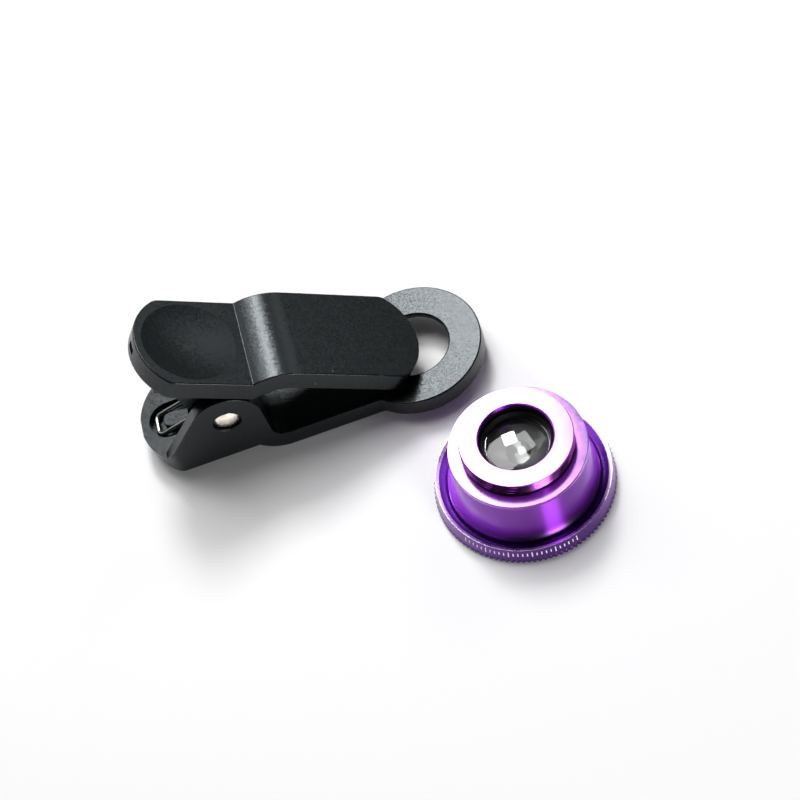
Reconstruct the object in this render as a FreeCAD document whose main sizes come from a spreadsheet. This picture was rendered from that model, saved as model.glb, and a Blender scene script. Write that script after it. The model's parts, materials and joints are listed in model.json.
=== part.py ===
"""Spring clip and screw-on fisheye lens for a phone, both standing on a table, the lens beside the clip.

The clip's two jaws turn on one steel pin and a double torsion spring holds them shut. Its lower jaw ends
in a ring whose underside takes the lens's threaded neck. The lens is drawn unscrewed, on its front rim.
Millimetres; +X runs along the clip from the finger pads to the ring, +Z is up, and the origin is the
middle of the bounding box's bottom face.
"""
import FreeCAD, Part
import math
import os

import Sketcher
from FreeCAD import Vector

SHEET = "Sizes"
COIL_TURNS = 2  # whole turns of each coil, before the part turn between its legs
COIL_EASE = 60.0  # degrees over which the wire turns from a leg into the coil's pitch
COIL_POINTS = 40  # places that the coil's curve is fitted through
WALL_TILT = 0.02  # a face whose normal rises or falls less than this is a wall
NEAR = 0.01  # mm, how close a point counts as on a surface
# name, value in mm or degrees, and what the size is
DRIVING_SIZES = (
    ("jaw_width", 17.8, "both jaws across"),
    ("lower_pitch", 4.2, "degrees the lower jaw leans back on its belly, ring end up"),
    ("ring_outer_dia", 24.0, "ring across its outer wall"),
    ("ring_hole_dia", 12.6, "sight hole through the ring's lip"),
    ("ring_thick", 3.6, "ring and arm, top to bottom"),
    ("neck_dia", 18.7, "lens neck over its thread"),
    ("thread_gap", 0.1, "all round between the lens neck and the ring's socket"),
    ("socket_depth", 2.6, "threaded socket, from the ring's underside"),
    ("pivot_back", 33.0, "ring axis to pin axis, along the lower jaw"),
    ("pivot_height", 8.64, "pin axis above the ring's phone face"),
    ("cheek_radius", 6.0, "rounded top of each cheek, about the pin"),
    ("cheek_thick", 2.4, "cheek wall"),
    ("cheek_back_slope", 50.0, "degrees the cheek's rear edge falls away"),
    ("cheek_foot_radius", 2.2, "hollow curve from a cheek's front edge into the arm"),
    ("heel_reach", 49.0, "ring axis to the heel's end"),
    ("heel_face_height", 3.0, "heel's inner face above the ring's phone face"),
    ("heel_face_length", 8.6, "flat of the heel's inner face, from its end"),
    ("heel_end_radius", 10.6, "heel's rounded end in plan"),
    ("heel_chin_radius", 5.0, "heel's underside, curling up to its end"),
    ("handle_floor", 0.6, "floor between the cheeks above the ring's phone face"),
    ("handle_drop", 0.8, "handle's underside below the ring's phone face"),
    ("belly_radius", 7.0, "belly that the clip rests on"),
    ("belly_back", 24.6, "ring axis to the belly's centre"),
    ("end_corner_radius", 2.5, "small corner where a rounded end meets a side"),
    ("neck_corner_radius", 0.8, "hollow corner where the arm meets the ring"),
    ("edge_round", 0.25, "outer edges of both mouldings, and the crease"),
    ("inner_edge_round", 0.15, "edges inside the cheeks and on the boss"),
    ("pin_dia", 3.0, "pivot pin"),
    ("pin_hole_gap", 0.05, "all round the pin in both jaws"),
    ("head_dia", 4.2, "pin's domed head"),
    ("head_rise", 0.75, "pin's dome above its seat"),
    ("head_edge", 0.15, "straight edge under the dome"),
    ("head_seat_dia", 4.9, "recess round the head"),
    ("head_seat_depth", 0.8, "recess below the cheek's outer face"),
    ("upper_pitch", 34.0, "degrees between the shut jaws"),
    ("tip_reach", 32.3, "pin axis to the upper jaw's tip"),
    ("pad_reach", 17.0, "pin axis to the finger pad's end"),
    ("pad_height", 10.08, "finger pad's top above the pin axis"),
    ("plateau_rise", 3.25, "plateau above the finger pad"),
    ("side_height", 3.85, "upper jaw's side wall"),
    ("crease_place", 1.65, "crease at the foot of the riser, ahead of the pin"),
    ("riser_run", 7.35, "crease to the plateau's start"),
    ("under_shift", 1.2, "foot of the riser's underside ahead of the crease"),
    ("under_trim", 0.9, "underside of the riser that much shorter than its top"),
    ("tip_radius", 11.0, "tip's rounded end in plan"),
    ("pad_end_radius", 10.6, "finger pad's rounded end in plan"),
    ("top_wall", 1.6, "upper jaw's top wall"),
    ("side_wall", 1.5, "upper jaw's side wall thickness"),
    ("dish_dia", 16.0, "thumb dish in the finger pad"),
    ("dish_depth", 0.7, "thumb dish"),
    ("dish_back", 7.7, "pin axis to the dish's middle"),
    ("end_slot_width", 2.4, "slot in the finger pad's end wall, across"),
    ("end_slot_height", 1.2, "slot in the finger pad's end wall"),
    ("end_slot_drop", 1.95, "pad's top to the slot's middle"),
    ("ear_gap", 0.2, "between an ear and the cheek beside it"),
    ("ear_thick", 1.2, "ears of the upper jaw"),
    ("ear_radius", 4.4, "ear about the pin"),
    ("ear_reach", 12.8, "pin axis to the ear's rear edge"),
    ("ear_back_slope", 45.0, "degrees of the ear's rear edge"),
    ("nose_gap", 0.4, "tip's bevelled underside above the ring when shut"),
    ("grip_gap", 0.15, "soft pad above the ring when shut"),
    ("grip_margin", 0.15, "all round the soft pad in its recess"),
    ("grip_length", 4.6, "soft pad along the jaw"),
    ("wire_dia", 1.0, "spring wire"),
    ("coil_radius", 2.3, "spring coils, to the wire's middle"),
    ("coil_pitch", 1.02, "one coil turn along the pin"),
    ("coil_start", 2.05, "middle of the pin to the first turn"),
    ("bridge_reach", 13.2, "pin axis back to the spring's bridge"),
    ("leg_reach", 11.5, "pin axis back to the ends of the spring's upper legs"),
    ("wire_bend", 1.0, "bend at the bridge's corners, to the wire's middle"),
    ("recess_depth", 1.5, "recess round the spring's bridge"),
    ("slot_half", 3.6, "half the recess round the spring's bridge"),
    ("slot_end", 1.5, "recess end from the heel's end"),
    ("boss_half", 1.45, "half the boss inside the bridge"),
    ("boss_end", 4.0, "boss end from the heel's end"),
    ("lens_ahead", 10.89, "lens axis ahead of the ring axis"),
    ("lens_aside", 29.9, "lens axis in front of the ring axis"),
    ("lens_height", 14.46, "table to the lens's rear face"),
    ("neck_height", 2.86, "lens neck"),
    ("rear_hole_dia", 12.24, "opening in the lens's rear face"),
    ("relief_depth", 0.35, "thread run-out at the neck's foot"),
    ("relief_width", 0.55, "thread run-out at the neck's foot, along the axis"),
    ("neck_chamfer", 0.2, "neck's and rear opening's edge"),
    ("flange_dia", 22.76, "flange under the neck"),
    ("flange_thick", 0.7, "flange"),
    ("flange_edge_radius", 0.2, "flange's rounded edge"),
    ("bell_top_dia", 22.3, "bell just under the flange"),
    ("bell_waist_dia", 23.5, "bell where its foot starts to flare"),
    ("bell_waist_height", 5.4, "that place above the table"),
    ("bell_foot_dia", 25.0, "bell's foot"),
    ("bell_foot_height", 2.95, "top of the bell's straight foot"),
    ("bell_flare_radius", 3.6, "flare above the bell's foot"),
    ("rim_seat_rise", 0.35, "front ring beside the bell's foot, above the front glass's seat"),
    ("rim_groove_width", 0.94, "slope from there up to the front ring's lip, across"),
    ("rim_groove_rise", 0.47, "that slope, upwards"),
    ("rim_bevel_width", 1.04, "front ring's bevel from its lip to its top edge, across"),
    ("rim_bevel_rise", 0.45, "front ring's bevel, upwards"),
    ("rim_taper", 0.53, "front ring's knurl outside its top edge"),
    ("knurl_height", 0.95, "knurled band"),
    ("knurl_count", 104, "teeth"),
    ("knurl_depth", 0.28, "tooth"),
    ("knurl_inset", 0.15, "small bevels at the knurl's foot and top"),
    ("front_flat_width", 1.81, "flat that the lens stands on"),
    ("bezel_lip", 0.5, "front ring's lip over the front glass, all round"),
    ("bezel_depth", 1.7, "front ring's opening above the table"),
    ("dome_seat_height", 2.0, "seat of the front glass above the table"),
    ("dome_edge", 0.9, "front glass at its edge"),
    ("dome_dia", 23.0, "front glass"),
    ("dome_drop", 1.6, "front glass, bulging below its seat"),
    ("dome_hollow_radius", 25.0, "front glass, hollow inner side"),
    ("dome_centre", 1.2, "front glass at its middle"),
    ("glass_gap", 0.1, "all round each glass and ring in the barrel"),
    ("seat_gap", 0.02, "between stacked pieces along the axis"),
    ("front_bore_dia", 21.6, "barrel bore behind the front glass"),
    ("middle_bore_dia", 17.2, "barrel bore for the middle glass"),
    ("middle_bore_length", 1.7, "that bore, from the web down to the front bore"),
    ("rear_recess", 1.38, "rear retainer below the lens's rear face"),
    ("web_thick", 1.0, "barrel's inner web"),
    ("web_hole_dia", 9.2, "light path through the web"),
    ("middle_edge", 1.5, "middle glass at its edge"),
    ("middle_hollow_dia", 14.0, "middle glass, width of the hollow"),
    ("middle_centre", 0.9, "middle glass at its middle"),
    ("spacer_throat_dia", 15.2, "front spacer's rear opening"),
    ("spacer_mouth_dia", 19.8, "front spacer's front opening"),
    ("stop_thick", 0.2, "aperture stop"),
    ("stop_hole_dia", 3.6, "aperture"),
    ("rear_ring_wall", 0.8, "wall of the rear spacer and retainer"),
    ("rear_spacer_length", 1.3, "rear spacer"),
    ("rear_edge", 1.6, "rear glass at its edge"),
    ("rear_bulge", 0.7, "rear glass, bulge of its rear side"),
    ("rear_front_bulge", 0.5, "rear glass, bulge of its front side"),
    ("retainer_length", 1.0, "rear retainer"),
    ("retainer_chamfer", 0.3, "rear retainer's inner edge"),
)


class Size:
    """A driving size or a sum of them, as a number and as the expression that a property is bound to."""

    def __init__(self, number, text=None):
        self.number = number
        self.text = text if text is not None else repr(number)

    def __add__(self, other):
        other = as_size(other)
        return Size(self.number + other.number, f"({self.text} + {other.text})")

    def __sub__(self, other):
        other = as_size(other)
        return Size(self.number - other.number, f"({self.text} - {other.text})")

    def __mul__(self, other):
        other = as_size(other)
        return Size(self.number * other.number, f"({self.text} * {other.text})")

    def __truediv__(self, other):
        other = as_size(other)
        return Size(self.number / other.number, f"({self.text} / {other.text})")

    def __neg__(self):
        return Size(-self.number, f"(-1 * {self.text})")

    __radd__ = __add__


def as_size(value):
    """A plain number as a Size."""
    return value if isinstance(value, Size) else Size(value)


def root(value):
    """Square root."""
    return Size(math.sqrt(value.number), f"sqrt({value.text})")


def sine(angle):
    """Sine of an angle in degrees."""
    return Size(math.sin(math.radians(angle.number)), f"sin({angle.text})")


def cosine(angle):
    """Cosine of an angle in degrees."""
    return Size(math.cos(math.radians(angle.number)), f"cos({angle.text})")


class Sizes:
    """The spreadsheet of driving sizes, each of them an attribute."""

    def __init__(self, doc):
        self.sheet = doc.addObject("Spreadsheet::Sheet", SHEET)
        for row, (name, number, note) in enumerate(DRIVING_SIZES, start=1):
            self.sheet.set(f"A{row}", note)
            self.write(row, name, number)
        self.next_row = len(DRIVING_SIZES) + 1

    def write(self, row, name, number):
        """Puts one plain number in the sheet under its alias."""
        self.sheet.set(f"B{row}", repr(number))
        self.sheet.setAlias(f"B{row}", name)
        setattr(self, name, Size(float(number), f"{SHEET}.{name}"))

    def measured(self, name, number):
        """Adds a number that was measured on the finished pieces."""
        self.write(self.next_row, name, number)
        self.next_row += 1


def new_body(doc, label):
    """An empty body with its label."""
    body = doc.addObject("PartDesign::Body", "Body_" + label)
    body.Label = label
    return body


def sketch_on(body, role, name, offset=None):
    """A sketch on one of the body's own origin planes, moved along the plane's normal by offset."""
    plane = next(feature for feature in body.Origin.OriginFeatures if feature.Role == role)
    sketch = body.newObject("Sketcher::SketchObject", name)
    sketch.AttachmentSupport = [(plane, "")]
    sketch.MapMode = "FlatFace"
    if offset is not None:
        sketch.setExpression("AttachmentOffset.Base.z", offset.text)
    return sketch


def bind(sketch, constraint, size):
    """Adds a constraint that follows a size."""
    index = sketch.addConstraint(constraint)
    sketch.setExpression(f"Constraints[{index}]", size.text)


def place_point(sketch, geometry, end, x, y):
    """Holds one end of an edge at x, y."""
    if x.number == 0:
        sketch.addConstraint(Sketcher.Constraint("PointOnObject", geometry, end, -2))
    else:
        bind(sketch, Sketcher.Constraint("DistanceX", -1, 1, geometry, end, x.number), x)
    if y.number == 0:
        sketch.addConstraint(Sketcher.Constraint("PointOnObject", geometry, end, -1))
    else:
        bind(sketch, Sketcher.Constraint("DistanceY", -1, 1, geometry, end, y.number), y)


def outline(sketch, corners):
    """A closed outline. A corner is (x, y), or (x, y, radius) where an arc runs on to the next corner.

    The arc turns anticlockwise about its centre, and clockwise where the radius is negative.
    """
    ends = []
    for index, corner in enumerate(corners):
        following = corners[(index + 1) % len(corners)]
        start = Vector(as_size(corner[0]).number, as_size(corner[1]).number, 0)
        stop = Vector(as_size(following[0]).number, as_size(following[1]).number, 0)
        if len(corner) == 2:
            ends.append((sketch.addGeometry(Part.LineSegment(start, stop)), 1, 2))
            continue
        radius = corner[2]
        turned = radius.number < 0
        first, last = (stop, start) if turned else (start, stop)
        chord = last - first
        inward = Vector(-chord.y, chord.x, 0).normalize()
        rise = math.sqrt(radius.number ** 2 - chord.Length ** 2 / 4)
        centre = (first + last) / 2 + inward * rise
        angles = [math.atan2(point.y - centre.y, point.x - centre.x) for point in (first, last)]
        circle = Part.Circle(centre, Vector(0, 0, 1), abs(radius.number))
        arc = sketch.addGeometry(Part.ArcOfCircle(circle, angles[0], angles[1]))
        ends.append((arc, 2, 1) if turned else (arc, 1, 2))
    for index, (geometry, start_end, stop_end) in enumerate(ends):
        following = ends[(index + 1) % len(ends)]
        sketch.addConstraint(
            Sketcher.Constraint("Coincident", geometry, stop_end, following[0], following[1]))
        place_point(sketch, geometry, start_end, as_size(corners[index][0]), as_size(corners[index][1]))
        if len(corners[index]) == 3:
            radius = corners[index][2]
            plain = -radius if radius.number < 0 else radius
            bind(sketch, Sketcher.Constraint("Radius", geometry, plain.number), plain)


def circle_at(sketch, x, y, radius):
    """A full circle."""
    centre = Vector(as_size(x).number, as_size(y).number, 0)
    geometry = sketch.addGeometry(Part.Circle(centre, Vector(0, 0, 1), radius.number))
    place_point(sketch, geometry, 3, as_size(x), as_size(y))
    bind(sketch, Sketcher.Constraint("Radius", geometry, radius.number), radius)


def extrude(body, kind, sketch, length, side="One side", reverse=False):
    """A Pad or Pocket of a sketch, by a bound length."""
    feature = body.newObject("PartDesign::" + kind, kind + "_" + sketch.Name)
    feature.Profile = sketch
    feature.SideType = side
    feature.Reversed = reverse
    feature.setExpression("Length", length.text)
    feature.Refine = True
    sketch.Visibility = False
    return feature


def turn(body, kind, sketch):
    """A Revolution or Groove of a sketch, a full turn about the sketch's vertical axis."""
    feature = body.newObject("PartDesign::" + kind, kind + "_" + sketch.Name)
    feature.Profile = sketch
    feature.ReferenceAxis = (sketch, ["V_Axis"])
    feature.Angle = 360.0
    feature.Refine = True
    sketch.Visibility = False
    return feature


def middle_and_normals(shape, edge):
    """The middle of an edge, and the normals there of the two faces that meet at it."""
    first, last = edge.ParameterRange
    middle = edge.valueAt((first + last) / 2)
    normals = []
    for face in shape.ancestorsOfType(edge, Part.Face):
        across, along = face.Surface.parameter(middle)
        normals.append(face.normalAt(across, along))
    return middle, normals


def round_edges(body, name, radius, wanted, wall_count=1):
    """A Fillet on the edges whose two faces are wall_count walls, where wanted says yes to the edge's middle."""
    body.Document.recompute()
    base = body.Tip
    names = []
    for index, edge in enumerate(base.Shape.Edges, start=1):
        middle, normals = middle_and_normals(base.Shape, edge)
        walls = [normal for normal in normals if abs(normal.z) < WALL_TILT]
        if len(normals) == 2 and len(walls) == wall_count and wanted(middle):
            names.append(f"Edge{index}")
    fillet = body.newObject("PartDesign::Fillet", name)
    fillet.Base = (base, names)
    fillet.setExpression("Radius", radius.text)


def rounded_end(reach, radius, half_width, corner):
    """Corners of a jaw's rounded end towards +X, from the side at -y round to the side at +y.

    The end is one arc that small corner arcs join to the straight sides.
    """
    centre = reach - radius
    inner = radius - corner
    side = half_width - corner
    along = root(inner * inner - side * side)
    side_x = centre + along
    arc_x = centre + along * radius / inner
    arc_y = side * radius / inner
    return [(side_x, -half_width, corner), (arc_x, -arc_y, radius),
            (arc_x, arc_y, corner), (side_x, half_width)]


def mirrored_in_x(corners):
    """The same corners towards -X, still running anticlockwise."""
    ends = [(-corner[0], corner[1]) for corner in reversed(corners)]
    radii = [corner[2] for corner in reversed(corners) if len(corner) == 3]
    joined = [(x, y, radius) for (x, y), radius in zip(ends, radii)]
    return joined + [ends[-1]]


def clockwise(corners):
    """The same run of corners, walked the other way round."""
    walked = []
    for index in range(len(corners) - 1, -1, -1):
        x, y = corners[index][0], corners[index][1]
        before = corners[index - 1] if index else corners[index]
        if index and len(before) == 3:
            walked.append((x, y, -before[2]))
        else:
            walked.append((x, y))
    return walked


def lower_jaw(doc, size):
    """Ring, arm, cheeks and heel in one moulding. Origin: ring axis on the phone face; +Z off that face."""
    body = new_body(doc, "lower_jaw")
    half = size.jaw_width / 2
    ring_radius = size.ring_outer_dia / 2

    # side view of everything but the ring and the cheeks
    heel_top = size.heel_face_height
    chin_x = size.heel_reach - size.heel_chin_radius
    chin_z = size.heel_chin_radius - size.handle_drop
    chin_end = root(size.heel_chin_radius * size.heel_chin_radius - (chin_z - heel_top) * (chin_z - heel_top))
    belly_z = size.belly_radius - size.ring_thick
    belly_step = belly_z + size.handle_drop
    belly_end = root(size.belly_radius * size.belly_radius - belly_step * belly_step)
    heel_step = -(size.heel_reach - size.heel_face_length)
    sketch = sketch_on(body, "XZ_Plane", "jaw_side")
    outline(sketch, [
        (-(chin_x + chin_end), heel_top, size.heel_chin_radius),
        (-chin_x, -size.handle_drop),
        (-(size.belly_back + belly_end), -size.handle_drop, size.belly_radius),
        (-size.belly_back, -size.ring_thick),
        (Size(0.0), -size.ring_thick),
        (Size(0.0), Size(0.0)),
        (-size.belly_back, Size(0.0)),
        (-size.belly_back - size.cheek_foot_radius, size.handle_floor),
        (heel_step + size.handle_floor, size.handle_floor),
        (heel_step, heel_top),
    ])
    extrude(body, "Pad", sketch, size.jaw_width, "Symmetric")

    sketch = sketch_on(body, "XY_Plane", "ring_plan")
    circle_at(sketch, 0, 0, ring_radius)
    extrude(body, "Pad", sketch, size.ring_thick, reverse=True)

    # both cheeks, first as one block across the jaw
    pin_x = -size.pivot_back
    pin_z = size.pivot_height
    front_x = pin_x + size.cheek_radius
    back_x = pin_x - size.cheek_radius * sine(size.cheek_back_slope)
    back_z = pin_z + size.cheek_radius * cosine(size.cheek_back_slope)
    fall = (back_z - heel_top) * cosine(size.cheek_back_slope) / sine(size.cheek_back_slope)
    sketch = sketch_on(body, "XZ_Plane", "cheek_side")
    outline(sketch, [
        (front_x + size.cheek_foot_radius, Size(0.0), -size.cheek_foot_radius),
        (front_x, size.cheek_foot_radius),
        (front_x, pin_z, size.cheek_radius),
        (back_x, back_z),
        (back_x - fall, heel_top),
        (back_x - fall, Size(0.0)),
    ])
    extrude(body, "Pad", sketch, size.jaw_width, "Symmetric")

    # the gap between the cheeks
    top = pin_z + size.cheek_radius * 2
    sketch = sketch_on(body, "XZ_Plane", "cheek_gap")
    outline(sketch, [
        (heel_step, heel_top),
        (heel_step + size.handle_floor, size.handle_floor),
        (-size.belly_back - size.cheek_foot_radius, size.handle_floor),
        (-size.belly_back, Size(0.0)),
        (-size.belly_back, top),
        (-size.heel_reach * 1.1, top),
        (-size.heel_reach * 1.1, heel_top),
    ])
    extrude(body, "Pocket", sketch, size.jaw_width - size.cheek_thick * 2, "Symmetric")

    # heel's rounded end in plan
    end = mirrored_in_x(rounded_end(size.heel_reach, size.heel_end_radius, half, size.end_corner_radius))
    sketch = sketch_on(body, "XY_Plane", "heel_plan")
    beyond = -size.heel_reach - half
    outline(sketch, [(end[0][0], size.jaw_width), (beyond, size.jaw_width),
                     (beyond, -size.jaw_width), (end[0][0], -size.jaw_width)] + clockwise(end))
    extrude(body, "Pocket", sketch, top * 2, "Symmetric")

    # recess for the spring's bridge, round a D-shaped boss
    slot_end = -(size.heel_reach - size.slot_end)
    boss_end = -(size.heel_reach - size.boss_end)
    sketch = sketch_on(body, "XY_Plane", "bridge_recess", heel_top)
    outline(sketch, [
        (slot_end + size.slot_half, size.slot_half, size.slot_half),
        (slot_end, Size(0.0), size.slot_half),
        (slot_end + size.slot_half, -size.slot_half),
        (heel_step, -size.slot_half),
        (heel_step, -size.boss_half),
        (boss_end + size.boss_half, -size.boss_half, -size.boss_half),
        (boss_end, Size(0.0), -size.boss_half),
        (boss_end + size.boss_half, size.boss_half),
        (heel_step, size.boss_half),
        (heel_step, size.slot_half),
    ])
    extrude(body, "Pocket", sketch, size.recess_depth)

    # ring's sight hole and threaded socket
    sketch = sketch_on(body, "XY_Plane", "sight_hole")
    circle_at(sketch, 0, 0, size.ring_hole_dia / 2)
    extrude(body, "Pocket", sketch, size.ring_thick * 4, "Symmetric")
    sketch = sketch_on(body, "XY_Plane", "lens_socket", -size.ring_thick)
    circle_at(sketch, 0, 0, size.neck_dia / 2 + size.thread_gap)
    extrude(body, "Pocket", sketch, size.socket_depth, reverse=True)

    # pin holes with a recess for each head
    sketch = sketch_on(body, "XZ_Plane", "pin_holes")
    circle_at(sketch, pin_x, pin_z, size.pin_dia / 2 + size.pin_hole_gap)
    extrude(body, "Pocket", sketch, size.jaw_width * 2, "Symmetric")
    for name, offset, reverse in (("front_head_seat", half, False), ("back_head_seat", -half, True)):
        sketch = sketch_on(body, "XZ_Plane", name, offset)
        circle_at(sketch, pin_x, pin_z, size.head_seat_dia / 2)
        extrude(body, "Pocket", sketch, size.head_seat_depth, reverse=reverse)
    round_lower_jaw(body, size)
    return body


def round_lower_jaw(body, size):
    """The lower moulding's rounded edges, from the ring's neck corners to the boss."""
    side = size.jaw_width.number / 2
    ring = size.ring_outer_dia.number / 2
    neck_x = -math.sqrt(ring * ring - side * side)
    heel_x = -size.heel_reach.number
    heel_top = size.heel_face_height.number
    inner = side - size.cheek_thick.number
    reach = size.edge_round.number

    def from_axis(point):
        return math.hypot(point.x, point.y)

    def outside(point):
        """Whether a point lies on the outer wall, seen from above."""
        beside = abs(point.y) > side - reach - NEAR
        ring_wall = point.x > -ring and from_axis(point) > ring - reach - NEAR
        heel_wall = point.x < heel_x + size.heel_end_radius.number / 2
        return beside or ring_wall or heel_wall and abs(point.y) > size.slot_half.number + NEAR

    def low(point):
        """Whether a point lies on the underside or the heel's chin."""
        return point.z < -reach or point.x < heel_x + side and point.z < heel_top - NEAR

    round_edges(body, "neck_corners", size.neck_corner_radius,
                lambda point: abs(point.x - neck_x) < NEAR and abs(abs(point.y) - side) < NEAR, wall_count=2)
    round_edges(body, "underside_outline", size.edge_round, lambda point: outside(point) and low(point))
    round_edges(body, "phone_face_outline", size.edge_round,
                lambda point: outside(point) and abs(point.z) < NEAR)
    round_edges(body, "sight_hole_edge", size.edge_round,
                lambda point: abs(point.z) < NEAR and abs(from_axis(point) - size.ring_hole_dia.number / 2) < NEAR)
    round_edges(body, "cheek_outline", size.edge_round,
                lambda point: abs(abs(point.y) - side) < NEAR and point.z > reach)
    round_edges(body, "cheek_inside", size.inner_edge_round,
                lambda point: abs(abs(point.y) - inner) < NEAR and point.z > heel_top + NEAR)
    round_edges(body, "boss_edge", size.inner_edge_round,
                lambda point: abs(point.z - heel_top) < NEAR and abs(point.y) < size.boss_half.number + NEAR
                and heel_x + size.boss_end.number - NEAR < point.x)


def trim_end(body, name, end, beyond, height):
    """Cuts away everything outside a rounded end, as far out as beyond."""
    first, last = end[0], end[-1]
    frame = [(first[0], first[1] * 2), (beyond, first[1] * 2), (beyond, last[1] * 2), (last[0], last[1] * 2)]
    sketch = sketch_on(body, "XY_Plane", name)
    outline(sketch, frame + clockwise(end))
    return extrude(body, "Pocket", sketch, height * 2, "Symmetric")


def upper_side(size, wall):
    """Side view of the upper jaw in its own frame, and of the hollow under it, which lies wall inside."""
    flat_top = size.pad_height - wall
    raised_top = size.pad_height + size.plateau_rise - wall
    start = size.crease_place + size.riser_run
    radius = (size.riser_run * size.riser_run + size.plateau_rise * size.plateau_rise) / (size.plateau_rise * 2)
    inner = radius - wall
    centre_height = size.pad_height + size.plateau_rise - radius
    foot = start - root(inner * inner - (flat_top - centre_height) * (flat_top - centre_height))
    return flat_top, raised_top, start, inner, foot


def shut_height(size, ahead, gap):
    """Height in the upper jaw's frame that lies gap above the ring's face when shut, ahead of the pin."""
    lean = size.upper_pitch
    return (gap - size.pivot_height + ahead * sine(lean)) / cosine(lean)


def upper_jaw(doc, size):
    """Finger pad, riser and plateau as one tray, with two ears. Origin: pin axis; +X towards the tip."""
    half = size.jaw_width / 2
    tip = size.tip_reach
    pad_end = -size.pad_reach
    plain = Size(0.0)
    flat_top, raised_top, start, radius, crease = upper_side(size, plain)
    under_pad = flat_top - size.side_height
    under_plateau = raised_top - size.side_height
    under_start = start + size.under_shift - size.under_trim
    under_foot = crease + size.under_shift
    under_run = under_start - under_foot
    rise = size.plateau_rise
    under_radius = (under_run * under_run + rise * rise) / (rise * 2)
    nose = shut_height(size, tip, size.nose_gap)
    lean = size.upper_pitch
    nose_start = tip - (nose - under_plateau) * cosine(lean) / sine(lean)

    body = new_body(doc, "upper_jaw_shell")
    sketch = sketch_on(body, "XZ_Plane", "tray_side")
    outline(sketch, [
        (pad_end, under_pad),
        (under_foot, under_pad, -under_radius),
        (under_start, under_plateau),
        (nose_start, under_plateau),
        (tip, nose),
        (tip, raised_top),
        (start, raised_top, radius),
        (crease, flat_top),
        (pad_end, flat_top),
    ])
    extrude(body, "Pad", sketch, size.jaw_width, "Symmetric")
    tip_end = rounded_end(tip, size.tip_radius, half, size.end_corner_radius)
    back_end = mirrored_in_x(rounded_end(size.pad_reach, size.pad_end_radius, half, size.end_corner_radius))
    trim_end(body, "tip_plan", tip_end, tip + half, raised_top)
    trim_end(body, "pad_plan", back_end, pad_end - half, raised_top)
    round_edges(body, "crease", size.edge_round, lambda point: abs(point.x - crease.number) < NEAR, wall_count=0)
    round_edges(body, "tray_outline", size.edge_round,
                lambda point: point.x < nose_start.number or point.z > raised_top.number - NEAR)

    # thumb dish, a shallow bowl turned into the pad's top
    dish_half = size.dish_dia / 2
    dish_radius = (dish_half * dish_half + size.dish_depth * size.dish_depth) / (size.dish_depth * 2)
    sketch = sketch_on(body, "XZ_Plane", "thumb_dish")
    outline(sketch, [
        (-size.dish_back, flat_top - size.dish_depth, dish_radius),
        (-size.dish_back + dish_half, flat_top),
        (-size.dish_back, flat_top),
    ])
    groove = body.newObject("PartDesign::Groove", "Groove_thumb_dish")
    groove.Profile = sketch
    groove.ReferenceAxis = (sketch, ["Edge3"])
    groove.Angle = 360.0
    sketch.Visibility = False

    # slot through the pad's end wall
    slot_middle = flat_top - size.end_slot_drop
    slot_half = size.end_slot_width / 2
    sketch = sketch_on(body, "YZ_Plane", "end_slot", pad_end)
    outline(sketch, [
        (-slot_half, slot_middle - size.end_slot_height / 2),
        (slot_half, slot_middle - size.end_slot_height / 2),
        (slot_half, slot_middle + size.end_slot_height / 2),
        (-slot_half, slot_middle + size.end_slot_height / 2),
    ])
    extrude(body, "Pocket", sketch, size.side_wall * 4, "Symmetric")

    # the tray's hollow, with the same rounded ends one wall further in
    wall = size.side_wall
    inner_pad, inner_top, inner_start, inner_radius, inner_foot = upper_side(size, size.top_wall)
    hollow = new_body(doc, "upper_jaw_hollow")
    sketch = sketch_on(hollow, "XZ_Plane", "hollow_side")
    outline(sketch, [
        (pad_end, plain),
        (tip, plain),
        (tip, inner_top),
        (inner_start, inner_top, inner_radius),
        (inner_foot, inner_pad),
        (pad_end, inner_pad),
    ])
    extrude(hollow, "Pad", sketch, size.jaw_width - wall * 2, "Symmetric")
    corner = size.end_corner_radius - wall
    tip_hollow = rounded_end(tip - wall, size.tip_radius - wall, half - wall, corner)
    back_hollow = mirrored_in_x(rounded_end(size.pad_reach - wall, size.pad_end_radius - wall, half - wall, corner))
    trim_end(hollow, "hollow_tip_plan", tip_hollow, tip + half, raised_top)
    trim_end(hollow, "hollow_pad_plan", back_hollow, pad_end - half, raised_top)

    # ears that hang from the tray's ceiling to the pin
    ears = new_body(doc, "upper_jaw_ears")
    slope = size.ear_back_slope
    boss = size.ear_radius
    run_up = (size.ear_reach - boss * sine(slope)) / cosine(slope)
    ceiling = flat_top - size.top_wall / 2
    sketch = sketch_on(ears, "XZ_Plane", "ear_side")
    outline(sketch, [
        (-boss * sine(slope), -boss * cosine(slope), boss),
        (boss, plain),
        (boss, ceiling),
        (-size.ear_reach, ceiling),
        (-size.ear_reach, run_up * sine(slope) - boss * cosine(slope)),
    ])
    ear_outer = half - size.cheek_thick - size.ear_gap
    extrude(ears, "Pad", sketch, ear_outer * 2, "Symmetric")
    sketch = sketch_on(ears, "XZ_Plane", "between_ears")
    far = size.pad_reach
    outline(sketch, [(-far, -far), (far, -far), (far, far), (-far, far)])
    extrude(ears, "Pocket", sketch, (ear_outer - size.ear_thick) * 2, "Symmetric")
    sketch = sketch_on(ears, "XZ_Plane", "ear_holes")
    circle_at(sketch, 0, 0, size.pin_dia / 2 + size.pin_hole_gap)
    extrude(ears, "Pocket", sketch, size.jaw_width, "Symmetric")

    tray = doc.addObject("Part::Cut", "upper_jaw_tray")
    tray.Base = body
    tray.Tool = hollow
    jaw = doc.addObject("Part::Fuse", "Fuse_upper_jaw")
    jaw.Label = "upper_jaw"
    jaw.Base = tray
    jaw.Tool = ears
    jaw.Refine = True
    return jaw


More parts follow.
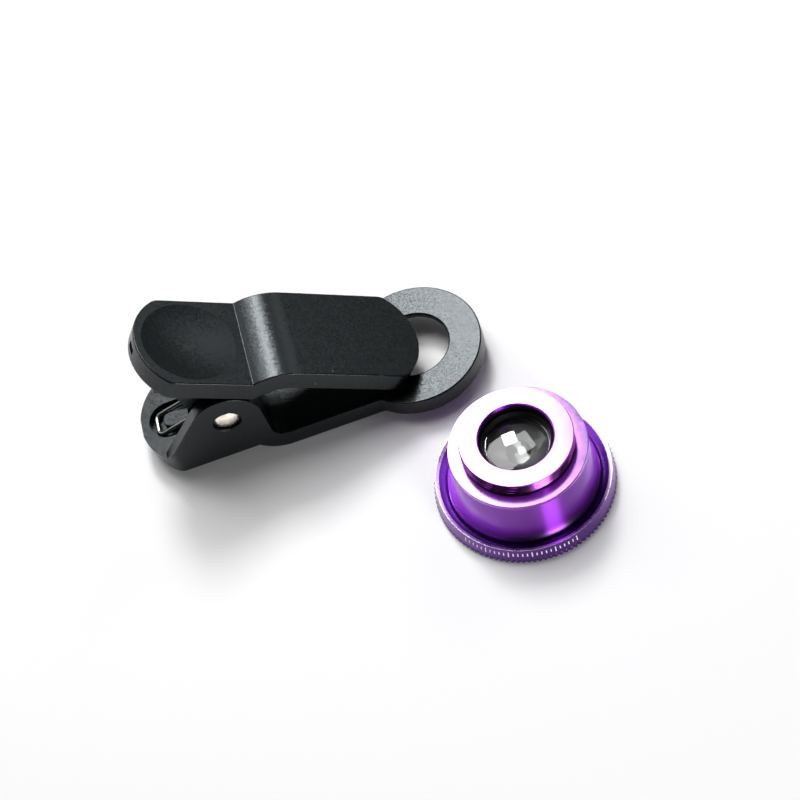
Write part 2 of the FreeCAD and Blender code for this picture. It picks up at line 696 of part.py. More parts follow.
def jaw_pad(doc, size):
    """Soft foot in the tip of the tray, its underside level with the ring's face when shut."""
    wall = size.side_wall + size.grip_margin
    front = size.tip_reach - wall
    back = front - size.grip_length
    top = size.pad_height + size.plateau_rise - size.top_wall - size.seat_gap
    body = new_body(doc, "jaw_pad")
    sketch = sketch_on(body, "XZ_Plane", "foot_side")
    outline(sketch, [
        (back, shut_height(size, back, size.grip_gap)),
        (front, shut_height(size, front, size.grip_gap)),
        (front, top),
        (back, top),
    ])
    half = size.jaw_width / 2
    extrude(body, "Pad", sketch, (half - wall) * 2, "Symmetric")
    corner = size.end_corner_radius - wall
    end = rounded_end(front, size.tip_radius - wall, half - wall, corner)
    trim_end(body, "foot_plan", end, front + half, size.pad_height * 2)
    return body


def revolved(doc, label, corners):
    """A turned piece: its half section, turned about +Z."""
    body = new_body(doc, label)
    sketch = sketch_on(body, "XZ_Plane", "section_" + label)
    outline(sketch, corners)
    turn(body, "Revolution", sketch)
    return body


def dome_radius(half_width, rise):
    """Radius of a cap from half its width and its rise."""
    return (half_width * half_width + rise * rise) / (rise * 2)


def pivot_pin(doc, size):
    """Steel pin with a domed head at each end, its axis along its own +Z."""
    shank = size.pin_dia / 2
    head = size.head_dia / 2
    seat = size.jaw_width / 2 - size.head_seat_depth + size.seat_gap
    apex = seat + size.head_rise
    cap = dome_radius(head, size.head_rise - size.head_edge)
    none = Size(0.0)
    return revolved(doc, "pivot_pin", [
        (none, -apex, cap),
        (head, -seat - size.head_edge),
        (head, -seat),
        (shank, -seat),
        (shank, seat),
        (head, seat),
        (head, seat + size.head_edge, cap),
        (none, apex),
    ])


def torsion_spring(doc, size):
    """Double torsion spring: a bridge in the heel, two legs to the coils on the pin and two legs up.

    One piece of round wire, drawn about the pin axis in the lower jaw's directions.
    """
    radius = size.coil_radius.number
    wire = size.wire_dia.number
    pitch = size.coil_pitch.number
    first_turn = size.coil_start.number
    lean = math.radians(size.upper_pitch.number)
    floor = size.heel_face_height.number - size.recess_depth.number
    bridge_z = floor + wire / 2 + size.seat_gap.number - size.pivot_height.number
    ceiling = size.pad_height.number - size.top_wall.number - wire / 2 - size.seat_gap.number
    reach = size.leg_reach.number
    leg_end_x = ceiling * math.sin(lean) - reach * math.cos(lean)
    leg_end_z = ceiling * math.cos(lean) + reach * math.sin(lean)
    bridge_x = -size.bridge_reach.number

    def tangent_angle(x, z, side):
        """Where on the coil circle a straight leg through x, z leaves it."""
        return math.atan2(z, x) + side * math.acos(radius / math.hypot(x, z))

    start = tangent_angle(bridge_x, bridge_z, 1)
    finish = tangent_angle(leg_end_x, leg_end_z, -1)
    sweep = finish - start + 2 * math.pi * COIL_TURNS
    ease = math.radians(COIL_EASE)

    def across(angle):
        """Advance along the pin: level with the legs at both ends, an even pitch between."""
        if angle < ease:
            turned = angle * angle / (2 * ease)
        elif angle > sweep - ease:
            turned = sweep - ease - (sweep - angle) ** 2 / (2 * ease)
        else:
            turned = angle - ease / 2
        return first_turn + pitch * turned / (2 * math.pi)

    points = []
    for step in range(COIL_POINTS + 1):
        angle = sweep * step / COIL_POINTS
        points.append(Vector(radius * math.cos(start + angle), across(angle), radius * math.sin(start + angle)))
    coil = Part.BSplineCurve()
    coil.interpolate(Points=points)

    middle = Vector(bridge_x, 0, bridge_z)
    corner = Vector(bridge_x, first_turn, bridge_z)
    along_leg = (points[0] - corner).normalize()
    bend = size.wire_bend.number
    bend_start = corner - Vector(0, bend, 0)
    bend_end = corner + along_leg * bend
    centre = bend_start + along_leg * bend
    bend_middle = centre + (corner - centre).normalize() * bend
    leg_end = Vector(leg_end_x, points[-1].y, leg_end_z)
    path = Part.Wire([
        Part.LineSegment(middle, bend_start).toShape(),
        Part.Arc(bend_start, bend_middle, bend_end).toShape(),
        Part.LineSegment(bend_end, points[0]).toShape(),
        coil.toShape(),
        Part.LineSegment(points[-1], leg_end).toShape(),
    ])
    ring = Part.Wire(Part.Circle(middle, Vector(0, 1, 0), wire / 2).toShape())
    half = path.makePipeShell([ring], True, True)
    spring = doc.addObject("Part::Feature", "Spring_torsion_spring")
    spring.Label = "torsion_spring"
    spring.Shape = half.fuse(half.mirror(Vector(0, 0, 0), Vector(0, 1, 0))).removeSplitter()
    return spring


def web_foot(size):
    """Height of the web's underside: the rear stack and the web hang from the rear face."""
    stack = size.stop_thick + size.rear_spacer_length + size.rear_edge + size.retainer_length + size.seat_gap * 4
    return size.lens_height - size.rear_recess - stack - size.web_thick


def lens_barrel(doc, size):
    """Bell-shaped barrel with a flange and a threaded neck, bored in steps for the glass."""
    gap = size.glass_gap
    front = size.dome_seat_height + size.seat_gap
    counterbore = size.dome_dia / 2 + gap
    counterbore_end = front + size.dome_edge + size.seat_gap
    foot = size.bell_foot_dia / 2
    top = size.lens_height
    flange_top = top - size.neck_height
    flange_foot = flange_top - size.flange_thick
    relief = size.neck_dia / 2 - size.relief_depth
    relief_top = flange_top + size.relief_width
    neck = size.neck_dia / 2
    chamfer = size.neck_chamfer
    hole = size.rear_hole_dia / 2
    web = size.web_hole_dia / 2
    web_low = web_foot(size)
    web_top = web_low + size.web_thick
    bore_step = web_low - size.middle_bore_length
    front_bore = size.front_bore_dia / 2
    middle_bore = size.middle_bore_dia / 2
    edge = size.flange_edge_radius
    body = revolved(doc, "lens_barrel", [
        (counterbore, front),
        (foot, front),
        (foot, size.bell_foot_height, -size.bell_flare_radius),
        (size.bell_waist_dia / 2, size.bell_waist_height),
        (size.bell_top_dia / 2, flange_foot),
        (size.flange_dia / 2 - edge, flange_foot, edge),
        (size.flange_dia / 2, flange_foot + edge),
        (size.flange_dia / 2, flange_top - edge, edge),
        (size.flange_dia / 2 - edge, flange_top),
        (relief, flange_top),
        (relief, relief_top),
        (neck, relief_top),
        (neck, top - chamfer),
        (neck - chamfer, top),
        (hole + chamfer, top),
        (hole, top - chamfer),
        (hole, web_top),
        (web, web_top),
        (web, web_low),
        (middle_bore, web_low),
        (middle_bore, bore_step),
        (front_bore, bore_step),
        (front_bore, counterbore_end),
        (counterbore, counterbore_end),
    ])
    return body


def bezel_radius(size):
    """Front ring's opening, which its lip keeps smaller than the front glass."""
    return size.dome_dia / 2 - size.bezel_lip


def front_ring(doc, size):
    """Front ring with a fine knurl at its foot; the lens stands on it, and it clamps the front glass."""
    knurl_top = size.knurl_height
    inset = size.knurl_inset
    seat = size.dome_seat_height
    spigot = size.bell_foot_dia / 2 + size.glass_gap
    lip = spigot + size.rim_groove_width
    top = lip + size.rim_bevel_width
    outer = top + size.rim_taper
    groove_foot = seat + size.rim_seat_rise
    lip_height = groove_foot + size.rim_groove_rise
    body = revolved(doc, "front_ring", [
        (outer - size.front_flat_width, Size(0.0)),
        (outer - inset, Size(0.0)),
        (outer, inset),
        (outer, knurl_top),
        (outer - inset, knurl_top + inset),
        (top, lip_height + size.rim_bevel_rise),
        (lip, lip_height),
        (spigot, groove_foot),
        (spigot, seat),
        (bezel_radius(size), seat),
        (bezel_radius(size), size.bezel_depth),
    ])
    sketch = sketch_on(body, "XY_Plane", "knurl_notch")
    beyond = outer + size.knurl_depth
    width = outer * math.pi / size.knurl_count
    outline(sketch, [(outer - size.knurl_depth, Size(0.0)), (beyond, -width), (beyond, width)])
    notch = extrude(body, "Pocket", sketch, size.knurl_height, reverse=True)
    pattern = body.newObject("PartDesign::PolarPattern", "knurl")
    pattern.Originals = [notch]
    axis = next(feature for feature in body.Origin.OriginFeatures if feature.Role == "Z_Axis")
    pattern.Axis = (axis, [""])
    pattern.Angle = 360.0
    pattern.setExpression("Occurrences", size.knurl_count.text)
    pattern.Refine = True
    body.Tip = pattern
    return body


def front_dome(doc, size):
    """Bulging front glass, hollow behind."""
    edge = size.dome_dia / 2
    bulge = bezel_radius(size) - size.glass_gap
    seat = size.dome_seat_height + size.seat_gap
    apex = seat - size.dome_drop
    back = seat + size.dome_edge
    inner_apex = apex + size.dome_centre
    sag = back - inner_apex
    hollow = size.dome_hollow_radius
    hollow_edge = root(hollow * sag * 2 - sag * sag)
    none = Size(0.0)
    return revolved(doc, "front_dome", [
        (none, apex, dome_radius(bulge, size.dome_drop)),
        (bulge, seat),
        (edge, seat),
        (edge, back),
        (hollow_edge, back, -hollow),
        (none, inner_apex),
    ])


def front_spacer(doc, size):
    """Black cone that holds the front and middle glass apart."""
    gap = size.glass_gap
    foot = size.dome_seat_height + size.dome_edge + size.seat_gap * 2
    shoulder = web_foot(size) - size.middle_bore_length - size.seat_gap
    nose = web_foot(size) - size.middle_edge - size.seat_gap * 2
    outer = size.front_bore_dia / 2 - gap
    nose_outer = size.middle_bore_dia / 2 - gap
    return revolved(doc, "front_spacer", [
        (size.spacer_mouth_dia / 2, foot),
        (outer, foot),
        (outer, shoulder),
        (nose_outer, shoulder),
        (nose_outer, nose),
        (size.spacer_throat_dia / 2, nose),
    ])


def middle_lens(doc, size):
    """Middle glass, hollow in front and flat against the web."""
    edge = size.middle_bore_dia / 2 - size.glass_gap
    back = web_foot(size) - size.seat_gap
    front = back - size.middle_edge
    hollow = size.middle_hollow_dia / 2
    sag = size.middle_edge - size.middle_centre
    none = Size(0.0)
    return revolved(doc, "middle_lens", [
        (none, front + sag, -dome_radius(hollow, sag)),
        (hollow, front),
        (edge, front),
        (edge, back),
        (none, back),
    ])


def rear_stack(doc, size):
    """Aperture stop, spacer, rear glass and retainer, one on the other on the barrel's web."""
    outer = size.rear_hole_dia / 2 - size.glass_gap
    bore = outer - size.rear_ring_wall
    gap = size.seat_gap
    none = Size(0.0)
    stop_foot = web_foot(size) + size.web_thick + gap
    stop_top = stop_foot + size.stop_thick
    spacer_foot = stop_top + gap
    spacer_top = spacer_foot + size.rear_spacer_length
    glass_foot = spacer_top + gap
    glass_top = glass_foot + size.rear_edge
    ring_foot = glass_top + gap
    ring_top = ring_foot + size.retainer_length
    bulge = bore - size.glass_gap
    hole = size.stop_hole_dia / 2
    stop = revolved(doc, "aperture_stop", [
        (hole, stop_foot), (outer, stop_foot), (outer, stop_top), (hole, stop_top)])
    spacer = revolved(doc, "rear_spacer", [
        (bore, spacer_foot), (outer, spacer_foot), (outer, spacer_top), (bore, spacer_top)])
    glass = revolved(doc, "rear_lens", [
        (none, glass_foot - size.rear_front_bulge, dome_radius(bulge, size.rear_front_bulge)),
        (bulge, glass_foot),
        (outer, glass_foot),
        (outer, glass_top),
        (bulge, glass_top, dome_radius(bulge, size.rear_bulge)),
        (none, glass_top + size.rear_bulge),
    ])
    retainer = revolved(doc, "rear_retainer", [
        (bore, ring_foot), (outer, ring_foot), (outer, ring_top - size.retainer_chamfer),
        (bore + size.retainer_chamfer, ring_top)])
    return [stop, spacer, glass, retainer]


def ring_rise(size):
    """Height of the ring's centre on the phone face when the clip rests on its belly."""
    lean = size.lower_pitch
    belly_z = size.belly_radius - size.ring_thick
    return size.belly_radius + size.belly_back * sine(lean) - belly_z * cosine(lean)


def place(piece, x, y, z, pitch, roll=0):
    """Binds a Placement: at x, y, z, leaning pitch degrees about +Y, after a roll about its own +X."""
    turned = f"rotation(vector(0; 1; 0); {pitch.text})"
    if roll:
        turned = f"{turned} * rotation(vector(1; 0; 0); {roll})"
    piece.setExpression("Placement", f"create(<<placement>>; vector({x.text}; {y.text}; {z.text}); {turned})")


def place_all(size, clip, jaw, pin, lens):
    """Stands the clip on its belly and the lens beside it."""
    lean = size.lower_pitch
    ring_x = -size.middle_x
    y = -size.middle_y
    rise = ring_rise(size)
    hinge_x = ring_x - size.pivot_back * cosine(lean) - size.pivot_height * sine(lean)
    hinge_z = rise - size.pivot_back * sine(lean) + size.pivot_height * cosine(lean)
    place(clip, ring_x, y, rise, -lean)
    for piece in jaw:
        place(piece, hinge_x, y, hinge_z, size.upper_pitch - lean)
    place(pin[0], hinge_x, y, hinge_z, -lean, 90)
    place(pin[1], hinge_x, y, hinge_z, -lean)
    for piece in lens:
        place(piece, size.lens_ahead + ring_x, y - size.lens_aside, Size(0.0), Size(0.0))
    return hinge_x, hinge_z, ring_x, rise, y


def check_all(doc, pieces):
    """Stops if a feature failed or a piece isn't one closed, valid solid."""
    failed = [item.Label for item in doc.Objects if "Invalid" in item.State or "Error" in item.State]
    if failed:
        raise RuntimeError(f"these failed: {failed}")
    for piece in pieces:
        shape = piece.Shape
        if shape.isNull() or not shape.isValid() or len(shape.Solids) != 1:
            raise RuntimeError(f"{piece.Label} isn't one valid solid")


def main():
    """Builds the document and writes each piece to parts/."""
    doc = FreeCAD.newDocument("ClipOnLens")
    size = Sizes(doc)
    size.measured("middle_x", 0.0)
    size.measured("middle_y", 0.0)
    doc.recompute()

    lower = lower_jaw(doc, size)
    upper = upper_jaw(doc, size)
    pad = jaw_pad(doc, size)
    pin = pivot_pin(doc, size)
    spring = torsion_spring(doc, size)
    lens = [lens_barrel(doc, size), front_ring(doc, size), front_dome(doc, size),
            front_spacer(doc, size), middle_lens(doc, size)] + rear_stack(doc, size)
    pieces = [lower, upper, pad, pin, spring] + lens
    place_all(size, lower, [upper, pad], [pin, spring], lens)
    doc.recompute()
    check_all(doc, pieces)

    # the origin goes to the middle of the whole box's bottom face
    boxes = [piece.Shape.optimalBoundingBox(False, False) for piece in pieces]
    middle_x = (min(box.XMin for box in boxes) + max(box.XMax for box in boxes)) / 2
    middle_y = (min(box.YMin for box in boxes) + max(box.YMax for box in boxes)) / 2
    size.sheet.set("middle_x", repr(middle_x))
    size.sheet.set("middle_y", repr(middle_y))
    doc.recompute()
    check_all(doc, pieces)

    os.makedirs("parts", exist_ok=True)
    for piece in pieces:
        piece.Shape.exportStep(f"parts/{piece.Label}.step")
        box = piece.Shape.optimalBoundingBox(False, False)
        print(f"{piece.Label:16s} {piece.Shape.Volume:9.2f} mm3  "
              f"x {box.XMin:.2f} {box.XMax:.2f}  y {box.YMin:.2f} {box.YMax:.2f}  z {box.ZMin:.2f} {box.ZMax:.2f}")
    print("middle", middle_x, middle_y)


main()
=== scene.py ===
"""Looks of a spring clip with a lens ring and the purple fisheye lens that screws into it.

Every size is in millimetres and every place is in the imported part's own frame; METRE turns them into
Blender's metres at the last step.
"""

from __future__ import annotations

import json
import logging
import math
from collections.abc import Callable
from dataclasses import dataclass, field
from enum import Enum

import bmesh
import bpy
from mathutils import Matrix, Vector

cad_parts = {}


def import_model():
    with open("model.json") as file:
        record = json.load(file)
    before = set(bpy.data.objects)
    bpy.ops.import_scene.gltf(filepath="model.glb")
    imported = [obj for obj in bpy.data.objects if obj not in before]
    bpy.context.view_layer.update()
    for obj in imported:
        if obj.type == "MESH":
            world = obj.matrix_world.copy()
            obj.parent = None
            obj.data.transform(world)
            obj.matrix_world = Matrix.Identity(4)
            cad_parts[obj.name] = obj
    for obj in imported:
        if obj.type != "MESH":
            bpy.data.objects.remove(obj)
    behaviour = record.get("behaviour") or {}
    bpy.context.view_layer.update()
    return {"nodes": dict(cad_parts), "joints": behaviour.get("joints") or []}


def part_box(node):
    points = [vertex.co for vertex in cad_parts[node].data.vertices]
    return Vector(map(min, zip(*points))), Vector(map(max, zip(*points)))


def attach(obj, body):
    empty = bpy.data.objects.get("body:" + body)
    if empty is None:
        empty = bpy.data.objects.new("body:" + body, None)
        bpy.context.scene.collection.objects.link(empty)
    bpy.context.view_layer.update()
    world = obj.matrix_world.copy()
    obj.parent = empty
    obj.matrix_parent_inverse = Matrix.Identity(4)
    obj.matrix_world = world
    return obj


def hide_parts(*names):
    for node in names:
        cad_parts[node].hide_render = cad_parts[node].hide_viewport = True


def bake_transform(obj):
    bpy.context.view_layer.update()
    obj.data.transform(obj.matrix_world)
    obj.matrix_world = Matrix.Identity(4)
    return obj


METRE = 0.001
NEAR_MM = 0.01  # how close two places count as the same
ARC_STEP = math.radians(6)  # turn of one face of a rounded corner
SHARP_ANGLE = math.radians(32)  # a fold sharper than this stays crisp
WAVE_REPEAT = math.pi / 10  # distance over which the wave pattern repeats at a scale of 1
LOG = logging.getLogger("clip_on_lens")

Socket = bpy.types.NodeSocket


class Body(Enum):
    """The rigid bodies that pieces ride on."""

    ROOT = "root"
    UPPER_JAW = "upper_jaw_body"


class Slot(Enum):
    """The part's material slots, by name."""

    SPRING = "spring_steel"
    BARREL = "purple_anodised_aluminium"
    RING = "purple_anodised_ring"


class BarrelFinish(Enum):
    """The barrel's finishes, each by its number among the barrel's materials."""

    DYED = 0
    # the faced ends, whose paler dye is painted highlight
    FACED_PAINTED_HIGHLIGHT = 1
    BLACKENED = 2
    THREAD = 3


class RingFinish(Enum):
    """The front ring's finishes, each by its number among the ring's materials."""

    DYED = 0
    BRIGHT_CUT = 1


def linear(colour: str) -> tuple[float, float, float, float]:
    """Turns an sRGB hex colour into linear light.

    Args:
        colour: six hex digits after a hash sign.

    Returns:
        Red, green, blue and an alpha of 1.
    """
    parts = [int(colour[place : place + 2], 16) / 255 for place in (1, 3, 5)]
    red, green, blue = (
        part / 12.92 if part <= 0.04045 else ((part + 0.055) / 1.055) ** 2.4 for part in parts
    )
    return red, green, blue, 1.0


def add_node(tree: bpy.types.NodeTree, kind: str, settings: dict | None = None, **inputs) -> bpy.types.Node:
    """Adds one node with its settings, values and links.

    Args:
        tree: the material's or world's node tree.
        kind: the node's type, without its ShaderNode prefix.
        settings: attributes of the node itself.
        inputs: values or sockets for its inputs, by Blender's name with _ for a space, or by i and the
            input's number.

    Returns:
        The new node.
    """
    node = tree.nodes.new("ShaderNode" + kind)
    for name, value in (settings or {}).items():
        setattr(node, name, value)
    for name, value in inputs.items():
        place = int(name[1:]) if name[0] == "i" and name[1:].isdigit() else name.replace("_", " ")
        target = node.inputs[place]
        if isinstance(value, Socket):
            tree.links.new(value, target)
        else:
            target.default_value = value
    return node


def new_tree(name: str) -> tuple[bpy.types.Material, bpy.types.NodeTree, bpy.types.Node, Socket]:
    """Starts a material.

    Args:
        name: the material's name.

    Returns:
        The material, its node tree, its Principled shader and object coordinates in millimetres.
    """
    material = bpy.data.materials.new(name)
    material.use_nodes = True
    tree = material.node_tree
    shader = tree.nodes["Principled BSDF"]
    place = add_node(tree, "TexCoord").outputs["Object"]
    scaled = add_node(tree, "VectorMath", {"operation": "SCALE"}, i0=place, Scale=1 / METRE)
    return material, tree, shader, scaled.outputs[0]


def rounded(corners: list[tuple]) -> list[tuple[float, float]]:
    """Rounds the corners of a closed outline.

    Args:
        corners: across, up and, where the corner is rounded, its radius, in mm.

    Returns:
        The outline's points, an arc every few degrees.
    """
    points = []
    for index, corner in enumerate(corners):
        here = Vector(corner[:2])
        if len(corner) < 3:
            points.append((here.x, here.y))
            continue
        before = (Vector(corners[index - 1][:2]) - here).normalized()
        after = (Vector(corners[(index + 1) % len(corners)][:2]) - here).normalized()
        half = before.angle(after) / 2
        start = here + before * corner[2] / math.tan(half)
        centre = here + (before + after).normalized() * corner[2] / math.sin(half)
        turn = math.pi - 2 * half
        if before.cross(after) < 0:
            turn = -turn
        steps = max(2, math.ceil(abs(turn) / ARC_STEP))
        for step in range(steps + 1):
            spoke = Vector(start - centre)
            spoke.rotate(Matrix.Rotation(-turn * step / steps, 2))
            points.append((centre.x + spoke.x, centre.y + spoke.y))
    return points


def link_mesh(name: str, mesh: bmesh.types.BMesh) -> bpy.types.Object:
    """Makes a smooth object with crisp corners from a mesh, and frees the mesh.

    Args:
        name: the object's name.
        mesh: the mesh, in metres.

    Returns:
        The new object, linked to the scene.
    """
    bmesh.ops.recalc_face_normals(mesh, faces=mesh.faces)
    data = bpy.data.meshes.new(name)
    mesh.to_mesh(data)
    mesh.free()
    for face in data.polygons:
        face.use_smooth = True
    data.set_sharp_from_angle(angle=SHARP_ANGLE)
    piece = bpy.data.objects.new(name, data)
    bpy.context.scene.collection.objects.link(piece)
    return piece


def turned(
    name: str, centre: Vector, outline: list[tuple[float, float]], sides: int, cut: Callable
) -> bpy.types.Object:
    """Turns a closed outline about an upright axis.

    Args:
        name: the new piece's name.
        centre: a point of the axis, in metres.
        outline: radius and height of each point, in mm.
        sides: how many faces go round.
        cut: gives the radius from the angle, the outline's radius and the height, for a thread or a knurl.

    Returns:
        The turned piece.
    """
    mesh = bmesh.new()
    rings = []
    for side in range(sides):
        angle = 2 * math.pi * side / sides
        ring = []
        for radius, height in outline:
            reach = cut(angle, radius, height)
            spot = Vector((reach * math.cos(angle), reach * math.sin(angle), height)) * METRE
            ring.append(mesh.verts.new(spot + Vector((centre.x, centre.y, 0))))
        rings.append(ring)
    for side in range(sides):
        here, there = rings[side], rings[(side + 1) % sides]
        for place in range(len(outline)):
            mesh.faces.new((here[place - 1], here[place], there[place], there[place - 1]))
    return link_mesh(name, mesh)


def dress(piece: bpy.types.Object, material: bpy.types.Material) -> None:
    """Gives every material slot of a piece one material.

    Args:
        piece: the object.
        material: its finish.
    """
    if not piece.data.materials:
        piece.data.materials.append(material)
    for slot in piece.material_slots:
        slot.material = material


@dataclass(frozen=True)
class SparkErodedAbs:
    """Black ABS moulded in a spark-eroded tool.

    The tool leaves a fine even grain that spreads highlights into a grey sheen, with a sparkle near
    their middle where the light is behind the piece. A little white dust clings to it.
    """

    name: str = "spark_eroded_abs"
    colour: str = "#0A0E10"
    skin_tint: str = "#EEF8FC"
    roughness: float = 0.27
    ior: float = 1.54
    gloss: float = 0.31  # the pits hide part of the skin's gloss
    grain_mm: float = 0.26  # spark pits are nearer 0.03, drawn coarser so that they show
    grain_depth_mm: float = 0.008
    facet_mm: float = 0.2  # the pits' sides, each leaning its own way, which sparkle near a highlight
    facet_lean: float = 0.09  # how far a side's normal leans, as a share of its length
    dust_spacing_mm: float = 3.2
    dust_colour: str = "#C9CCCE"
    dust_cover: float = 0.8
    speck: tuple = (0.018, 0.03)  # a speck's core and edge, as shares of the dust's spacing

    def make(self) -> bpy.types.Material:
        """Returns the material."""
        material, tree, shader, place = new_tree(self.name)
        pits = add_node(tree, "TexNoise", Vector=place, Scale=1 / self.grain_mm, Detail=2.0, Roughness=0.6)
        bump = add_node(
            tree, "Bump", Strength=1.0, Distance=self.grain_depth_mm * METRE, Height=pits.outputs["Fac"]
        )
        facets = add_node(tree, "TexVoronoi", Vector=place, Scale=1 / self.facet_mm)
        lean = add_node(
            tree, "VectorMath", {"operation": "SUBTRACT"}, i0=facets.outputs["Color"], i1=(0.5, 0.5, 0.5)
        )
        glint = add_node(
            tree, "VectorMath", {"operation": "MULTIPLY_ADD"}, i0=lean.outputs[0], i1=(self.facet_lean,) * 3,
            i2=bump.outputs[0],
        )
        normal = add_node(tree, "VectorMath", {"operation": "NORMALIZE"}, i0=glint.outputs[0])
        dust = add_node(tree, "TexVoronoi", Vector=place, Scale=1 / self.dust_spacing_mm)
        core, edge = self.speck
        speck = add_node(
            tree, "MapRange", i0=dust.outputs["Distance"], i1=core, i2=edge, i3=self.dust_cover, i4=0.0
        )
        colour = add_node(
            tree, "Mix", {"data_type": "RGBA"}, Factor=speck.outputs[0],
            i6=linear(self.colour), i7=linear(self.dust_colour),
        )
        tree.links.new(colour.outputs[2], shader.inputs["Base Color"])
        tree.links.new(normal.outputs[0], shader.inputs["Normal"])
        shader.inputs["Roughness"].default_value = self.roughness
        shader.inputs["IOR"].default_value = self.ior
        shader.inputs["Specular IOR Level"].default_value = self.gloss
        shader.inputs["Specular Tint"].default_value = linear(self.skin_tint)
        return material


@dataclass(frozen=True)
class AnodisedAluminium:
    """Aluminium turned bright, then anodised and dyed.

    The dyed oxide tints the metal's reflection, a clear skin over it adds white glints, and the tool's
    fine rings draw each highlight out along the axis.
    """

    name: str
    colour: str
    roughness: float = 0.38
    roughness_spread: float = 0.03
    anisotropy: float = 1.0
    coat: float = 0.55
    coat_roughness: float = 0.28
    ring_spacing_mm: float = 0.22  # feed marks are nearer 0.08, drawn coarser so that they show
    ring_depth_mm: float = 0.0006
    cloud_mm: float = 2.0

    def make(self) -> bpy.types.Material:
        """Returns the material."""
        material, tree, shader, place = new_tree(self.name)
        rings = add_node(
            tree, "TexWave", {"bands_direction": "Z", "wave_profile": "SIN"}, Vector=place,
            Scale=WAVE_REPEAT / self.ring_spacing_mm, Distortion=0.4, Detail=2.0,
        )
        bump = add_node(
            tree, "Bump", Strength=1.0, Distance=self.ring_depth_mm * METRE, Height=rings.outputs["Fac"]
        )
        cloud = add_node(tree, "TexNoise", Vector=place, Scale=1 / self.cloud_mm, Detail=3.0)
        rough = add_node(
            tree, "MapRange", i0=cloud.outputs["Fac"], i1=0.3, i2=0.7,
            i3=self.roughness - self.roughness_spread, i4=self.roughness + self.roughness_spread,
        )
        around = add_node(tree, "Tangent", {"direction_type": "RADIAL", "axis": "Z"})
        tree.links.new(bump.outputs[0], shader.inputs["Normal"])
        tree.links.new(rough.outputs[0], shader.inputs["Roughness"])
        tree.links.new(around.outputs[0], shader.inputs["Tangent"])
        shader.inputs["Base Color"].default_value = linear(self.colour)
        shader.inputs["Metallic"].default_value = 1.0
        shader.inputs["Anisotropic"].default_value = self.anisotropy
        # a quarter turn sets the long way of a highlight across the rings
        shader.inputs["Anisotropic Rotation"].default_value = 0.25
        shader.inputs["Coat Weight"].default_value = self.coat
        shader.inputs["Coat Roughness"].default_value = self.coat_roughness
        return material


@dataclass(frozen=True)
class PlainMetal:
    """Bare or plated metal: bright, with faint drawing or polishing marks."""

    name: str
    colour: str
    roughness: float
    mark_mm: float = 0.3
    mark_share: float = 0.3  # how much smoother or rougher a mark is, as a share of the roughness

    def make(self) -> bpy.types.Material:
        """Returns the material."""
        material, tree, shader, place = new_tree(self.name)
        marks = add_node(tree, "TexNoise", Vector=place, Scale=1 / self.mark_mm, Detail=3.0)
        rough = add_node(
            tree, "MapRange", i0=marks.outputs["Fac"], i1=0.3, i2=0.7,
            i3=self.roughness * (1 - self.mark_share), i4=self.roughness * (1 + self.mark_share),
        )
        tree.links.new(rough.outputs[0], shader.inputs["Roughness"])
        shader.inputs["Base Color"].default_value = linear(self.colour)
        shader.inputs["Metallic"].default_value = 1.0
        return material


@dataclass(frozen=True)
class BlackenedMetal:
    """Aluminium anodised dull black, as inside a lens barrel, so that it throws back little light."""

    name: str = "blackened_aluminium"
    colour: str = "#060608"
    roughness: float = 0.5
    grain_mm: float = 0.25
    grain_depth_mm: float = 0.005

    def make(self) -> bpy.types.Material:
        """Returns the material."""
        material, tree, shader, place = new_tree(self.name)
        grain = add_node(tree, "TexNoise", Vector=place, Scale=1 / self.grain_mm, Detail=2.0)
        bump = add_node(
            tree, "Bump", Strength=1.0, Distance=self.grain_depth_mm * METRE, Height=grain.outputs["Fac"]
        )
        tree.links.new(bump.outputs[0], shader.inputs["Normal"])
        shader.inputs["Base Color"].default_value = linear(self.colour)
        shader.inputs["Roughness"].default_value = self.roughness
        return material


@dataclass(frozen=True)
class OpticalGlass:
    """Polished lens glass with a thin coating that tints its glints."""

    name: str
    tint: str = "#F4F6F6"
    coating: str = "#FFFFFF"
    ior: float = 1.6

    def make(self) -> bpy.types.Material:
        """Returns the material."""
        material, _, shader, _ = new_tree(self.name)
        shader.inputs["Base Color"].default_value = linear(self.tint)
        shader.inputs["Roughness"].default_value = 0.0
        shader.inputs["IOR"].default_value = self.ior
        shader.inputs["Transmission Weight"].default_value = 1.0
        shader.inputs["Specular Tint"].default_value = linear(self.coating)
        return material


@dataclass(frozen=True)
class SoftRubber:
    """Soft black rubber, moulded, with a dull, faintly uneven skin."""

    name: str = "soft_rubber"
    colour: str = "#1A1A1B"
    roughness: float = 0.75
    bumps_per_mm: float = 3.0
    bump_depth_mm: float = 0.02

    def make(self) -> bpy.types.Material:
        """Returns the material."""
        material, tree, shader, place = new_tree(self.name)
        skin = add_node(tree, "TexNoise", Vector=place, Scale=self.bumps_per_mm, Detail=3.0)
        bump = add_node(
            tree, "Bump", Strength=1.0, Distance=self.bump_depth_mm * METRE, Height=skin.outputs["Fac"]
        )
        tree.links.new(bump.outputs[0], shader.inputs["Normal"])
        shader.inputs["Base Color"].default_value = linear(self.colour)
        shader.inputs["Roughness"].default_value = self.roughness
        return material


@dataclass(frozen=True)
class LaserMarking:
    """Laser marking on dyed aluminium: the dye is burnt off, which leaves a pale, dull line."""

    name: str = "laser_marking"
    colour: str = "#F4ECF8"
    smooth: float = 0.5
    burnt: float = 0.7
    burns_per_mm: float = 6.0

    def make(self) -> bpy.types.Material:
        """Returns the material."""
        material, tree, shader, place = new_tree(self.name)
        burn = add_node(tree, "TexNoise", Vector=place, Scale=self.burns_per_mm, Detail=2.0)
        rough = add_node(
            tree, "MapRange", i0=burn.outputs["Fac"], i1=0.3, i2=0.7, i3=self.smooth, i4=self.burnt
        )
        tree.links.new(rough.outputs[0], shader.inputs["Roughness"])
        shader.inputs["Base Color"].default_value = linear(self.colour)
        return material


